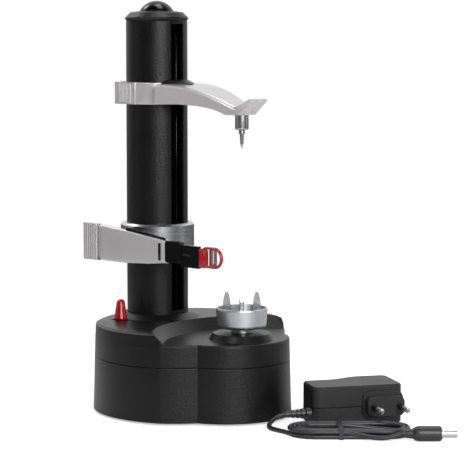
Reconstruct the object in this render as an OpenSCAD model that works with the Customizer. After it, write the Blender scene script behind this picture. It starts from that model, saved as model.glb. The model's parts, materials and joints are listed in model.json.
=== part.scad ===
// Electric tower peeler with a turntable, a travelling peel arm and a mains adapter set.
// Millimetres, +Z up. The floor is z = 0, and +X runs from the tower to the turntable.

/* [Base] */
// Distance between the tower axis and the turntable axis
axis_gap = 86; // [84:1:90]
// Radius of the large tower lobe at the seam
lobe_r = 69.5; // [66:0.5:74]
// Distance from the tower axis to the centre of the tower lobe
lobe_shift = 36; // [33:0.5:38]
// Radius of the turntable lobe at the seam
nose_r = 45; // [44:0.5:48]
// Height of the seam between the two housings
seam_z = 40; // [37:0.5:42]
// Height of the low deck around the turntable
deck_z = 55.5; // [54:0.5:57]
// Height of the raised deck around the tower
ridge_z = 63.5; // [61.5:0.5:66]
// Wall thickness of the housings
wall = 2.6; // [2:0.1:3]

/* [Tower] */
// Outer radius of the tower tube
tower_r = 22; // [21:0.5:23]
// Wall thickness of the tower tube
tube_wall = 3.2; // [2.5:0.1:3.6]
// Height of the top edge of the tower tube
tower_top = 276; // [262:1:290]
// Width of the long slot in the tower
slot_w = 12; // [11:0.5:13]
// Outer radius of the lead screw thread
screw_r = 5; // [4.5:0.1:5.5]
// Pitch of the lead screw thread
screw_pitch = 6; // [4:0.5:8]

/* [Turntable] */
// Radius of the cup at its rim
cup_r = 18.2; // [17:0.1:19]
// Height of the cup
cup_h = 14; // [13:0.5:15]
// Radius of the turntable shaft
shaft_r = 4; // [3.5:0.1:4.5]
// Height of the prongs above the cup floor
prong_h = 22; // [18:1:24]

/* [Top arm] */
// Height of the lower edge of the top ring at rest
top_ring_z = 217; // [210:1:225]
// Height of the top ring
top_ring_h = 15.5; // [14:0.5:16]
// Half width of the arm at its tip
tip_half = 8.5; // [8:0.5:10]
// Radius of the pin holder
holder_r = 4.7; // [4:0.1:5.2]

/* [Peel arm] */
// Height of the lower edge of the peel collar at rest
collar_z = 105.6; // [100:0.2:112]
// Height of the peel collar
collar_h = 26; // [25:0.5:28]
// Outer radius of the peel collar
collar_r = 26.5; // [26:0.1:27]
// Distance from the tower axis to the outer face of the peel arm
arm_y = 32; // [31.8:0.1:34]
// Distance that the thumb grip reaches behind the tower axis
grip_reach = 46.5; // [45:0.5:49]

/* [Gears] */
// Module of the main gear train
gear_m = 2; // [2:0.1:2]
// Teeth on the lead screw gear
screw_teeth = 18; // [18:1:18]
// Teeth on the idler gear
idler_teeth = 24; // [24:1:24]
// Teeth on the turntable gear
table_teeth = 20; // [20:1:20]
// Module of the motor stage
motor_m = 1.25; // [1.25:0.05:1.25]
// Teeth on the motor pinion
pinion_teeth = 10; // [10:1:10]
// Teeth on the wheel that the motor pinion drives
wheel_teeth = 46; // [46:1:46]

/* [Adapter] */
// Length of the adapter body
adapter_l = 64; // [60:1:68]
// Width of the adapter body
adapter_w = 38; // [36:1:42]
// Height of the adapter body
adapter_h = 27; // [24:1:30]
// Diameter of the low-voltage cord
cord_d = 3.2; // [3:0.1:3.4]

/* [Hidden] */
$fn = 96;

nose_shift = 34.5;                              // centre of the turntable lobe, from that of the tower lobe
flare = 1;                                      // how far the foot stands out past the seam
clear = 0.3;                                    // gap between moving faces
run = 0.06;                                     // radial gap of a shaft in its bush
foot_h = 1.5;
floor_z = 4.5;                                  // top of the base plate
nose_reach = lobe_shift + nose_shift + nose_r + flare; // tower axis to the front of the nose
half_len = (nose_reach + grip_reach) / 2;
tower_x = grip_reach - half_len;
table_x = tower_x + axis_gap;
lobe_x = tower_x + lobe_shift;
nose_x = lobe_x + nose_shift;
waist_r = lobe_r + 9;                           // large arc that pulls the lobe in beside the nose
waist_x = lobe_x - 16.5;
crown = 1.8;                                    // how far the raised deck falls off towards its rim
recess_r = 73.5;                                // low deck, around a point well past the turntable
recess_x = table_x + 28;
ramp = 8;                                       // run of the slope between the decks
roof_z = deck_z - wall;
lip_h = 3.6;                                    // inner lip that centres the upper housing

screw_ring = lobe_r - wall - 4.4;               // circle of the housing screws
screw_spots = [for (a = [145.6, -145.6, 69, -69]) [lobe_x + screw_ring * cos(a), screw_ring * sin(a)]];
battery_x = lobe_x - 14;
battery_l = 62;
battery_w = 58;

inlet_y = 24;                                   // low-voltage inlet at the back
inlet_z = 18;
inlet_r = 2.8;
inlet_deep = 12;
socket_flange = 7;                              // radius of the flange behind the housing wall
socket_seat = lobe_r + flare - sqrt(pow(lobe_r - wall, 2) - pow(inlet_y + socket_flange, 2)) + 0.4;

lever_reach = 36;                               // distance of the switch lever from the tower axis
lever_h = 15.6;

gear_z = 13;
gear_h = 7;
wheel_z = gear_z + gear_h + 1.5;
wheel_h = 6;
idler_x = tower_x + gear_m * (screw_teeth + idler_teeth) / 2;
motor_reach = motor_m * (pinion_teeth + wheel_teeth) / 2;
motor_turn = 215;                               // direction of the motor as seen from the idler
motor_x = idler_x + motor_reach * cos(motor_turn);
motor_y = motor_reach * sin(motor_turn);
motor_r = 12;
plate_t = 1.8;
plate_rim = lobe_r - wall - 6;                  // reach of the motor plate from the middle of the tower lobe
motor_z = wheel_z + wheel_h + 1.4 + plate_t;     // the motor stands on its plate, above the wheels
motor_l = 20;

tube_r = tower_r - tube_wall;                   // inner radius of the tower
tube_z = deck_z + 1;                            // where the tube stands in the housing
guide_w = slot_w - 2.2;                         // clear width between the guide walls
guide_t = 1.4;
guide_front = 14.7;                             // the guide walls end inside the slot, this far from the axis
slot_top = tower_top - 2;
spigot_h = 2.4;                                 // part of the cap inside the tube
bush_r = 6.4;
bush_h = 6;
guide_flange = guide_front - 3.8;               // flange that seats the guide on the tube wall
guide_reach = 12.4;                             // how near the axis a carriage tongue comes
slot_z = ridge_z + 5.5;
key_w = guide_w - 2 * clear;                    // tongue that slides in the guide

pedestal_r = 20;
pedestal_z = deck_z + 4.4;
cup_hub = 3.2;                                  // hub under the cup
cup_z = pedestal_z + cup_hub + clear;
cup_curb = 4;                                   // rounded foot of the cup wall, from the rim inwards
floor_t = 3;
prong_w = 7.2;

ring_r = 24.2;
ring_bore = tower_r + clear;
arm_half = 22.6;
arm_wall = 2.6;
root_x = 21.6;
neck_half = 14;
mouth_half = 16.4;
mouth_x = 37;
fold_x = tower_x + 91;                          // where the tip of the top arm folds up
plate_z = top_ring_z - 5.4;                     // underside of the flat tip
holder_z = plate_z - 10.3;
button_r = 18;
button_x = tower_x - 10;
button_half = 25.4;
button_travel = 2;
rib_count = 9;
rib_from = -12.2;
rib_step = 1.5;
rib_r = 0.55;

pin_back = 0.5;                                 // hinge pin, behind the tower axis
pin_x = tower_x - pin_back;
pin_y = -arm_y + 3.7;
pin_r = 1.2;
knuckle_r = 2.1;
arm_t = 1.6;
arm_inner = -arm_y + arm_t;
grip_l = grip_reach - 30.4;                     // the grip ends just short of the arm's face
grip_ribs = 6;
grip_pitch = 2.4;
blade_x = tower_x + 86.3;
blade_z = collar_z + 9.1;
arm_low = collar_z - 1.6;
nut_z = collar_z + 4;
nut_h = 18;
tongue_x = 30;                                  // tongue of the blade holder behind the arm
stem_end = 74.8;
stem_low = 0.6;                                 // stem of the blade holder, above the collar's lower edge
stem_h = 15.4;
guard_run = 7.2;                                // straight part of the guard hoop
guard_r = 7.4;
guard_t = 1.9;
blade_w = 7;

adapter_at = [124, 34];                         // adapter set beside the base
adapter_turn = 45;
body_turn = 15;
relief_l = 18;
swell = 8;                                      // how far the adapter body swings out beside the plug
plug_x = adapter_l / 2 - 15;
plug_l = 9;
pin_gap = 18.6;
plug_pin_r = 2;
plug_pin_l = 19;
sleeve_l = 9.5;
relief_in = 9;                                  // distance of the strain relief from the body's near side
hank_run = 48;
hank_turns = 3;                                 // turns side by side in each of two layers
hank_core = 9.6;                                // bend radius of the innermost turn
hank_r = hank_core + (hank_turns - 0.5) * cord_d;
hank_h = 1.94 * cord_d;
hank_at = [-4, -34];
// Points of the two free stretches of cord, in the adapter set's own frame.
lead_points = [[-46, -4, 8], [-49, -4.8, 7.6], [-52.5, -6.2, 6.2], [-55.5, -8.6, 4.2], [-57.2, -12, 2.5],
    [-57.4, -16, 1.7], [-56, -20.5, 1.6], [-53, -25, 1.6], [-49.6, -29.2, 1.6],
    [-46.8, -33, 1.6], [-44.4, -36.6, 1.6]];
tail_points = [[-16, -49.7, 4.5], [-9, -49.8, 4.45], [-2.5, -50.5, 4], [3.5, -52, 3.2], [9.5, -54, 2.2],
    [15.5, -55.2, 1.8], [21, -55.6, 2.2], [25.5, -55.7, 3.6], [30, -55.7, 5.1]];
tail_end = tail_points[len(tail_points) - 1];

black = "#1b1b1d";
dark = "#2a2a2d";
silver = "#b9babd";
steel = "#d6d8da";
red = "#c3202a";

// ---------- shared shapes ----------

module on_tower() {
    translate([tower_x, 0, 0]) children();
}

module on_table() {
    translate([table_x, 0, 0]) children();
}

module round_rect(size, r) {
    square([size.x - 2 * r, size.y], center = true);
    square([size.x, size.y - 2 * r], center = true);
    for (sx = [-1, 1], sy = [-1, 1])
        translate([sx * (size.x / 2 - r), sy * (size.y / 2 - r)]) circle(r);
}

module stadium(run_l, r) {
    square([run_l, 2 * r], center = true);
    for (s = [-1, 1]) translate([s * run_l / 2, 0]) circle(r);
}

// Standing disc with slightly tapered sides and a rounded top edge.
module drum(r_low, r_high, z_low, z_high, round_r) {
    translate([0, 0, z_low]) rotate_extrude() union() {
        polygon([[0, 0], [r_low, 0], [r_high, z_high - z_low - round_r],
            [r_high - round_r, z_high - z_low - round_r], [r_high - round_r, z_high - z_low],
            [0, z_high - z_low]]);
        translate([r_high - round_r, z_high - z_low - round_r]) intersection() {
            circle(round_r);
            square(round_r);
        }
    }
}

// Footprint of the base: a wide lobe for the tower, narrowed at its waist, and a nose for the turntable.
module wide_lobe(inset, grow_low, grow_high, z_low, z_high, round_r) {
    intersection() {
        translate([lobe_x, 0, 0])
            drum(lobe_r - inset + grow_low, lobe_r - inset + grow_high, z_low, z_high, round_r);
        translate([waist_x, 0, 0])
            drum(waist_r - inset + grow_low, waist_r - inset + grow_high, z_low, z_high, round_r);
    }
}

module base_form(inset, grow_low, grow_high, z_low, z_high, round_r) {
    wide_lobe(inset, grow_low, grow_high, z_low, z_high, round_r);
    translate([nose_x, 0, 0])
        drum(nose_r - inset + grow_low, nose_r - inset + grow_high, z_low, z_high, round_r);
}

module base_hollow(z_low, z_high) {
    base_form(wall, 0, 0, z_low, z_high, 0.5);
}

function involute(base, a) = [base * (cos(a) + a * PI / 180 * sin(a)), base * (sin(a) - a * PI / 180 * cos(a))];
function inv_angle(base, r) = sqrt(pow(r / base, 2) - 1) * 180 / PI;
function turned(p, a) = [p.x * cos(a) - p.y * sin(a), p.x * sin(a) + p.y * cos(a)];
function inv_polar(base, r) = inv_angle(base, r) - atan(inv_angle(base, r) * PI / 180);

// One tooth's outline, standing on the root circle, with its middle on +X.
function tooth(m, teeth, slack) =
    let (pitch_r = m * teeth / 2, base = pitch_r * cos(25), tip = pitch_r + 0.8 * m, root = pitch_r - 1.1 * m,
        start = max(base, root), half = 90 / teeth - slack / pitch_r * 90 / PI + inv_polar(base, pitch_r),
        steps = [0, 0.35, 0.7, 1],
        flank = [for (s = steps) let (r = start + (tip - start) * s, a = inv_polar(base, r))
            [r * cos(half - a), r * sin(half - a)]])
    concat([[(root - 0.4) * cos(half), -(root - 0.4) * sin(half)]],
        [for (p = flank) [p.x, -p.y]],
        [for (i = [3:-1:0]) flank[i]],
        [[(root - 0.4) * cos(half), (root - 0.4) * sin(half)]]);

module gear_plate(m, teeth, turn, h, slack) {
    linear_extrude(h) union() {
        circle(m * teeth / 2 - 1.1 * m);
        for (i = [0:teeth - 1]) rotate(turn + i * 360 / teeth) polygon(tooth(m, teeth, slack));
    }
}

// Tube swept along a list of points, as one closed body.
function unit(v) = v / norm(v);
function heading(p, i) = unit(p[min(i + 1, len(p) - 1)] - p[max(i - 1, 0)]);
function side_of(d) = unit(cross(d, abs(d.z) < 0.9 ? [0, 0, 1] : [1, 0, 0]));
module cord_tube(p, d, sides) {
    n = len(p);
    ring = [for (i = [0:n - 1]) let (dir = heading(p, i), a = side_of(dir), b = cross(dir, a))
        for (k = [0:sides - 1]) p[i] + d / 2 * (a * cos(k * 360 / sides) + b * sin(k * 360 / sides))];
    skin = [for (i = [0:n - 2], k = [0:sides - 1])
        [i * sides + k, i * sides + (k + 1) % sides, (i + 1) * sides + (k + 1) % sides, (i + 1) * sides + k]];
    polyhedron(ring, concat(skin, [[for (k = [sides - 1:-1:0]) k]], [[for (k = [0:sides - 1]) (n - 1) * sides + k]]));
}

// ---------- base ----------

module lower_housing() {
    color(black) {
        difference() {
            base_form(0, flare, 0, foot_h, seam_z - 0.35, 0.6);
            base_hollow(foot_h - 1, seam_z + 1);
            translate([lobe_x - lobe_r - 5, inlet_y, inlet_z]) rotate([0, 90, 0]) cylinder(r = 5.7, h = 20);
        }
        for (p = screw_spots) translate([p.x, p.y, floor_z]) difference() {
            cylinder(r = 5, h = seam_z - 6 - floor_z);
            translate([0, 0, -1]) cylinder(r = 1.6, h = seam_z);
        }
    }
}

// The low deck with its sloping rim, cut out of the raised deck.
module recess_cut() {
    rise = ridge_z - deck_z + 6;
    widen = ramp / (ridge_z - deck_z) * rise;
    translate([recess_x, 0, deck_z]) cylinder(r1 = recess_r, r2 = recess_r + widen, h = rise);
}

// Raised deck: flat round the tower, crowned down to a crisp rim.
module raised_deck() {
    intersection() {
        translate([lobe_x, 0, seam_z + 6]) crowned_drum(lobe_r - 0.2, ridge_z - seam_z - 6);
        translate([waist_x, 0, seam_z + 6]) crowned_drum(waist_r - 0.2, ridge_z - seam_z - 6);
    }
}

module crowned_drum(r, h) {
    rotate_extrude() polygon([[0, 0], [r, 0], [r - 0.6, h - crown], [r - 3, h - crown / 3], [r - 8.6, h], [0, h]]);
}

module upper_housing() {
    color(black) difference() {
        union() {
            difference() {
                upper_form();
                base_hollow(seam_z - 1, roof_z);
                plateau_hollow();
            }
            difference() {
                base_form(wall + clear, 0, 0, seam_z - lip_h, seam_z + 1, 0.4);
                base_form(wall + clear + 1.6, 0, 0, seam_z - lip_h - 1, seam_z + 2, 0.4);
            }
            difference() {
                base_form(wall - 0.4, 0, 0, seam_z, seam_z + 2, 0.4);
                base_form(wall + clear + 1.6, 0, 0, seam_z - 1, seam_z + 3, 0.4);
            }
            on_tower() translate([0, 0, tube_z - 3]) cylinder(r = tower_r + 3, h = ridge_z - tube_z + 2);
        }
        on_tower() translate([0, 0, tube_z]) cylinder(r = tower_r, h = 30);
        on_tower() translate([0, 0, roof_z - 3]) cylinder(r = tube_r - 1.5, h = 30);
        on_table() translate([0, 0, seam_z]) cylinder(r = shaft_r + 3, h = 40);
        switch_place() translate([-6.5, -4.7, ridge_z - 8]) cube([13, 9.4, 20]);
    }
}

module upper_form() {
    base_form(0, 0, -0.4, seam_z, deck_z, 1.6);
    difference() {
        union() {
            raised_deck();
            on_tower() translate([0, 0, ridge_z - 1]) cylinder(r1 = tower_r + 12, r2 = tower_r + 2, h = 4.2);
        }
        recess_cut();
    }
    on_table() translate([0, 0, deck_z - 1])
        cylinder(r1 = pedestal_r + 3.6, r2 = pedestal_r, h = pedestal_z - deck_z + 1);
}

module plateau_hollow() {
    intersection() {
        wide_lobe(wall, 0, 0, roof_z - 1, ridge_z - wall, 0.5);
        difference() {
            translate([tower_x - 60, -90, 0]) cube([110, 180, 90]);
            translate([recess_x, 0, 0]) cylinder(r = recess_r + ramp + 3, h = 90);
        }
    }
}

module base_plate() {
    color(dark) difference() {
        union() {
            translate([0, 0, foot_h]) linear_extrude(floor_z - foot_h) union() {
                intersection() {
                    translate([lobe_x, 0]) circle(lobe_r - wall - clear);
                    translate([waist_x, 0]) circle(waist_r - wall - clear);
                }
                translate([nose_x, 0]) circle(nose_r - wall - clear);
            }
            on_tower() translate([0, 0, floor_z]) cylinder(r = 8, h = 6);
            on_table() translate([0, 0, floor_z]) cylinder(r = 8, h = 6);
            translate([idler_x, 0, floor_z]) cylinder(r = 6, h = 6);
        }
        on_tower() translate([0, 0, floor_z]) cylinder(r = 4 + run, h = 20);
        on_table() translate([0, 0, floor_z]) cylinder(r = shaft_r + run, h = 20);
        translate([idler_x, 0, floor_z]) cylinder(r = 2.5, h = 20);
        for (p = screw_spots) translate([p.x, p.y, 0]) {
            cylinder(r = 1.9, h = 20);
            cylinder(r = 3.6, h = foot_h + 1.6);
        }
        translate([battery_x, 0, foot_h]) cube([battery_l, battery_w, 3.2], center = true);
        translate([battery_x - battery_l / 2 + 6, 0, 0]) cylinder(r = 1.3, h = 10);
    }
}

module battery_cover() {
    color(black) difference() {
        translate([battery_x, 0, foot_h]) {
            translate([0, 0, 0.75]) cube([battery_l - 0.8, battery_w - 0.8, 1.5], center = true);
            for (i = [-2:2]) translate([battery_l / 2 - 8, i * 8, 0]) cube([9, 1.4, 0.6], center = true);
        }
        translate([battery_x - battery_l / 2 + 6, 0, 0]) cylinder(r = 2.6, h = 10);
    }
}

foot_spots = [[lobe_x - 57, 0], [lobe_x - 4, 58], [lobe_x - 4, -58], [nose_x + 22, 24], [nose_x + 22, -24]];

module rubber_feet() {
    color("#3a3a3c") for (p = foot_spots) translate([p.x, p.y, 0]) rotate_extrude()
        polygon([[0, 0], [5.4, 0], [6.2, 0.6], [6.2, foot_h], [0, foot_h]]);
}

module housing_screws() {
    color(steel) {
        for (p = screw_spots) translate([p.x, p.y, foot_h + 0.2]) screw(1.5, 16, 3.2);
        translate([battery_x - battery_l / 2 + 6, 0, foot_h + 0.2]) screw(1.3, 2.8, 2.4);
    }
}

module screw(r, l, head_r) {
    difference() {
        union() {
            cylinder(r = r, h = l);
            cylinder(r = head_r, h = 1.4);
        }
        for (a = [0, 90]) rotate(a) cube([head_r * 1.2, 0.7, 1.2], center = true);
    }
}

// ---------- tower ----------

module tower_tube() {
    color(black) on_tower() difference() {
        translate([0, 0, tube_z]) cylinder(r = tower_r, h = tower_top - tube_z);
        translate([0, 0, tube_z - 1]) cylinder(r = tube_r, h = tower_top);
        translate([0, -slot_w / 2, slot_z]) cube([40, slot_w, slot_top - slot_z]);
    }
}

// Channel behind the slot that guides both carriages. Its top slopes back from the slot.
module tower_guide() {
    guide_top = tower_top - spigot_h - clear;
    slope_x = 3;
    slope_z = 7;
    flange_end = sqrt(pow(tube_r, 2) - pow(guide_flange, 2)) - 0.05;
    color(dark) on_tower() difference() {
        translate([0, 0, slot_z]) linear_extrude(guide_top - slot_z) for (m = [0, 1]) mirror([0, m]) {
            translate([guide_flange - guide_t, guide_w / 2]) square([guide_front - guide_flange + guide_t, guide_t]);
            translate([guide_flange - guide_t, guide_w / 2]) square([guide_t, flange_end - guide_w / 2]);
        }
        translate([0, 30, 0]) rotate([90, 0, 0]) linear_extrude(60)
            polygon([[guide_front - slope_x, guide_top + 0.1], [guide_front + 0.1, guide_top - slope_z],
                [guide_front + 0.1, guide_top + 0.1]]);
    }
}

module tower_cap() {
    color(black) on_tower() difference() {
        translate([0, 0, tower_top]) rotate_extrude()
            polygon([[0, -bush_h], [bush_r + 2, -bush_h], [bush_r + 2, -spigot_h], [tube_r - clear / 3, -spigot_h],
                [tube_r - clear / 3, 0], [tower_r - 0.4, 0],
                [tower_r + 0.8, 1.7], [tower_r + 0.4, 2.6], [tower_r - 3.2, 6], [12.4, 7], [0, 7]]);
        translate([0, 0, tower_top - bush_h - 1]) cylinder(r = bush_r, h = bush_h + 1);
    }
}

module cap_dome() {
    rise = 7.3;
    half = 12.2;
    ball = (half * half + rise * rise) / (2 * rise);
    color("#303034") on_tower() translate([0, 0, tower_top + 7]) intersection() {
        translate([0, 0, rise - ball]) sphere(ball);
        cylinder(r = half, h = rise + 1);
    }
}

module lead_screw() {
    low = gear_z + gear_h + 18;
    high = tower_top - bush_h - 1.5;
    turns = floor((high - low) / screw_pitch);
    color(steel) on_tower() {
        difference() {
            union() {
                translate([0, 0, floor_z + 0.3]) cylinder(r = 4, h = tower_top - floor_z - 1.5);
                translate([0, 0, low]) rotate_extrude() union() {
                    square([screw_r - 1, turns * screw_pitch]);
                    for (i = [0:turns - 1]) translate([0, i * screw_pitch])
                        polygon([[0, 0.8], [screw_r - 1, 0.8], [screw_r, 2], [screw_r, 3.2], [screw_r - 1, 4.4],
                            [0, 4.4]]);
                }
            }
            translate([2.6, -4, gear_z - 1]) cube([4, 8, gear_h + 2]);
        }
    }
}

module screw_gear() {
    color("#e4e2da") on_tower() translate([0, 0, gear_z]) difference() {
        union() {
            gear_plate(gear_m, screw_teeth, 0, gear_h, 0.16);
            cylinder(r = 8, h = gear_h + 4);
        }
        difference() {
            translate([0, 0, -1]) cylinder(r = 4, h = gear_h + 10);
            translate([2.6, -4, -1]) cube([4, 8, gear_h + 2]);
        }
    }
}

module screw_bush() {
    color("#c8a860") on_tower() translate([0, 0, tower_top - bush_h]) difference() {
        cylinder(r = bush_r, h = bush_h - 0.6);
        translate([0, 0, -1]) cylinder(r = 4 + run, h = 10);
    }
}

// ---------- drive ----------

module motor() {
    color(steel) translate([motor_x, motor_y, motor_z]) {
        intersection() {
            cylinder(r = motor_r, h = motor_l);
            translate([0, 0, motor_l / 2]) cube([2 * motor_r, 1.64 * motor_r, motor_l], center = true);
        }
        translate([0, 0, -plate_t]) cylinder(r = 4, h = plate_t);
    }
}

module motor_pinion() {
    color("#d8b25a") translate([motor_x, motor_y, wheel_z]) {
        rotate(motor_turn + 180 + 180 / pinion_teeth) gear_plate(motor_m, pinion_teeth, 0, wheel_h, 0.12);
        cylinder(r = 1.6, h = wheel_h + 1);
    }
}

// Bridge over the gears: carries the motor and steadies the idler pin.
module motor_plate() {
    rim_turn = -139;
    corner = [lobe_shift + plate_rim * cos(rim_turn), plate_rim * sin(rim_turn)];
    posts = [[corner.x + 4, corner.y + 4], [40, -40], [30, 39]];
    deck = motor_z - plate_t;
    color(dark) difference() {
        union() {
            translate([tower_x, 0, deck]) linear_extrude(plate_t) polygon([corner, [44, -44], [50, -6], [50, 6],
                [34, 43], [26, 43], [26, 4], [10, -8], [corner.x, corner.y + 8]]);
            for (p = posts) translate([tower_x + p.x, p.y, floor_z]) cylinder(r = 3.5, h = deck - floor_z);
        }
        translate([motor_x, motor_y, 0]) cylinder(r = 4, h = 90);
        translate([motor_x, motor_y, 0]) cylinder(r = motor_m * pinion_teeth / 2 + 2, h = deck);
        translate([idler_x, 0, 0]) cylinder(r = 2.5, h = 90);
    }
}

module idler_gear() {
    color("#e4e2da") translate([idler_x, 0, gear_z]) difference() {
        union() {
            gear_plate(gear_m, idler_teeth, 180 / idler_teeth, gear_h, 0.16);
            cylinder(r = 12, h = wheel_z - gear_z);
            translate([0, 0, wheel_z - gear_z]) gear_plate(motor_m, wheel_teeth, motor_turn, wheel_h, 0.12);
        }
        translate([0, 0, -1]) cylinder(r = 2.5 + run, h = 40);
    }
}

module idler_pin() {
    color(steel) translate([idler_x, 0, floor_z]) cylinder(r = 2.5, h = motor_z + 0.6 - floor_z);
}

module turntable_gear() {
    color("#e4e2da") on_table() translate([0, 0, gear_z]) difference() {
        union() {
            gear_plate(gear_m, table_teeth, 0, gear_h, 0.16);
            cylinder(r = 9, h = gear_h + 6);
        }
        translate([0, 0, -1]) cylinder(r = shaft_r, h = 40);
    }
}

module turntable_shaft() {
    color(steel) on_table() translate([0, 0, floor_z + 0.3]) difference() {
        cylinder(r = shaft_r, h = cup_z - floor_z + 2.4);
        translate([0, 0, cup_z - floor_z - 6]) cylinder(r = 1.5, h = 20);
    }
}

module turntable_bush() {
    color("#c8a860") on_table() translate([0, 0, roof_z - 5]) difference() {
        union() {
            cylinder(r = shaft_r + 3, h = pedestal_z - roof_z + 5);
            cylinder(r = shaft_r + 5, h = 4.6);
        }
        translate([0, 0, -1]) cylinder(r = shaft_r + run, h = 40);
    }
}

module turntable_cup() {
    color(silver) on_table() translate([0, 0, cup_z]) difference() {
        rotate_extrude() polygon(concat(
            [[0, -cup_hub], [shaft_r + 3.4, -cup_hub], [shaft_r + 3.4, -0.6], [cup_r - 5.4, 0]],
            [for (a = [-70:20:0]) [cup_r - 4 + 3 * cos(a), 3 + 3 * sin(a)]],
            [[cup_r - 0.2, cup_h - 1], [cup_r - 0.4, cup_h], [cup_r - 1.4, cup_h], [cup_r - 2.6, floor_t + 1.4],
                [cup_r - cup_curb, floor_t], [0, floor_t]]));
        translate([0, 0, -4]) cylinder(r = shaft_r, h = 6.7);
        cylinder(r = 2.2, h = 20);
    }
}

// Four radial fins that grip the food from below.
module turntable_prongs() {
    out = cup_r - cup_curb - prong_w / 2 - 0.1;
    color(steel) on_table() translate([0, 0, cup_z + floor_t]) for (a = [45:90:315]) rotate(a)
        translate([out, 1, 0]) rotate([90, 0, 0]) linear_extrude(2)
            polygon([[-prong_w / 2, 0], [prong_w / 2, 0], [prong_w / 2 - 1.2, prong_h * 0.75], [0.9, prong_h],
                [-0.9, prong_h], [-prong_w / 2 + 1.2, prong_h * 0.75]]);
}

module centre_spike() {
    color(steel) on_table() translate([0, 0, cup_z + floor_t]) rotate_extrude()
        polygon([[0, -8], [1.5, -8], [1.5, -0.3], [2.2, -0.3], [2.2, 0], [3, 0], [3, 1.6], [1.7, 2.6],
            [1.7, prong_h - 6], [0.3, prong_h - 1], [0, prong_h - 1]]);
}

// ---------- inlet and switch ----------

module dc_socket() {
    color(dark) translate([lobe_x - lobe_r - flare, inlet_y, inlet_z]) rotate([0, 90, 0]) difference() {
        union() {
            translate([0, 0, 5.6]) cylinder(r = 5.5, h = 17);
            translate([0, 0, socket_seat]) cylinder(r = socket_flange, h = 4);
        }
        cylinder(r = inlet_r, h = 5.6 + inlet_deep);
    }
}

module switch_place() {
    translate([tower_x, -lever_reach, 0]) children();
}

module switch_body() {
    color(dark) switch_place() difference() {
        union() {
            translate([-7, -4, ridge_z - 13]) cube([14, 8, 13 - wall - 1]);
            translate([-9, -6.4, ridge_z - wall - 1.6]) cube([18, 12.8, 1.6]);
        }
        translate([-5.4, -2.4, ridge_z - 9]) cube([10.8, 4.8, 12]);
        translate([0, 0, ridge_z - 5]) rotate([90, 0, 0]) cylinder(r = 1.5 + run, h = 20, center = true);
    }
}

module switch_lever() {
    tip_r = 3.1;
    foot_r = 4.7;
    color(red) switch_place() translate([0, 0, ridge_z - 5]) {
        rotate([90, 0, 0]) cylinder(r = 1.5, h = 6, center = true);
        translate([-2.4, -2.1, -2.2]) cube([4.8, 4.2, 8]);
        translate([0, 0, 5.6]) difference() {
            union() {
                cylinder(r1 = foot_r - 0.4, r2 = foot_r, h = 0.8);
                translate([0, 0, 0.8]) cylinder(r1 = foot_r, r2 = tip_r, h = lever_h - 5);
                translate([0, 0, lever_h - 4.2]) sphere(tip_r);
            }
            translate([-10, -10, -1]) cube([20, 20, 1]);
        }
    }
}

// ---------- top arm ----------

function bezier(p, t) = len(p) == 1 ? p[0] : bezier([for (i = [0:len(p) - 2]) p[i] * (1 - t) + p[i + 1] * t], t);

arm_rise = top_ring_h - 2;
// Side view of the top arm from its root to the fold, measured from the tower axis and the ring's lower edge.
function arm_top_line() = [for (t = [0:0.1:1]) bezier([[-4, arm_rise + 1.4], [36, arm_rise + 1.6], [58, arm_rise + 0.8],
    [71, 6.4], [91, -1.2]], t)];
function arm_low_line() = [for (t = [0:0.125:1]) bezier([[80, -5.4], [74, -2.6], [66, 1.2], [44, 1.6], [-4, 1]], t)];

module arm_side() {
    tab_l = 15.4;
    tab_t = 2;
    tip = [91, plate_z - top_ring_z];
    along = [cos(41), sin(41)];
    across = [-sin(41), cos(41)];
    polygon(concat(arm_top_line(), [[91 - 1.6, 0], tip + tab_l * along + tab_t * across, tip + tab_l * along, tip],
        arm_low_line()));
}

module arm_plan(root_half, tip_w, start, neck) {
    polygon([[-4, neck], [start, neck], [start, root_half], [91, tip_w], [115, tip_w], [115, -tip_w],
        [91, -tip_w], [start, -root_half], [start, -neck], [-4, -neck]]);
}

module top_arm() {
    color(silver) on_tower() translate([0, 0, top_ring_z]) difference() {
        union() {
            cylinder(r = ring_r, h = top_ring_h);
            intersection() {
                translate([0, 30, 0]) rotate([90, 0, 0]) linear_extrude(60) arm_side();
                translate([0, 0, -20]) linear_extrude(60) arm_plan(arm_half, tip_half, root_x, neck_half);
            }
        }
        translate([0, 0, -1]) cylinder(r = ring_bore, h = top_ring_h + 4);
        arm_pocket(0);
        arm_mouth();
        translate([axis_gap, 0, -12]) cylinder(r = 2.6, h = plate_z - top_ring_z + 15);
    }
}

// Hollow underside and root of the arm, which the dark core fills.
module arm_pocket(gap) {
    intersection() {
        translate([0, 30, 0]) rotate([90, 0, 0]) linear_extrude(60) polygon(concat(
            [for (p = arm_top_line()) if (p.x < 82) p + [0, -2.4 - gap]], [[74, -8 - gap], [-4, -8]]));
        translate([0, 0, -20]) linear_extrude(60) difference() {
            arm_plan(arm_half - arm_wall - gap, tip_half - 2.2 - gap,
                root_x + arm_wall + gap, neck_half - arm_wall - gap);
            translate([0, -50]) square([ring_r - 8, 100]);
            translate([82, -50]) square([40, 100]);
        }
    }
}

// Opening in the arm's top at its root, which the core fills.
module arm_mouth() {
    translate([0, 0, 4]) linear_extrude(30) polygon([[ring_r - 8, 11.4], [20.4, 14.6], [22.4, mouth_half],
        [mouth_x, 0], [22.4, -mouth_half], [20.4, -14.6], [ring_r - 8, -11.4]]);
}

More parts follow.
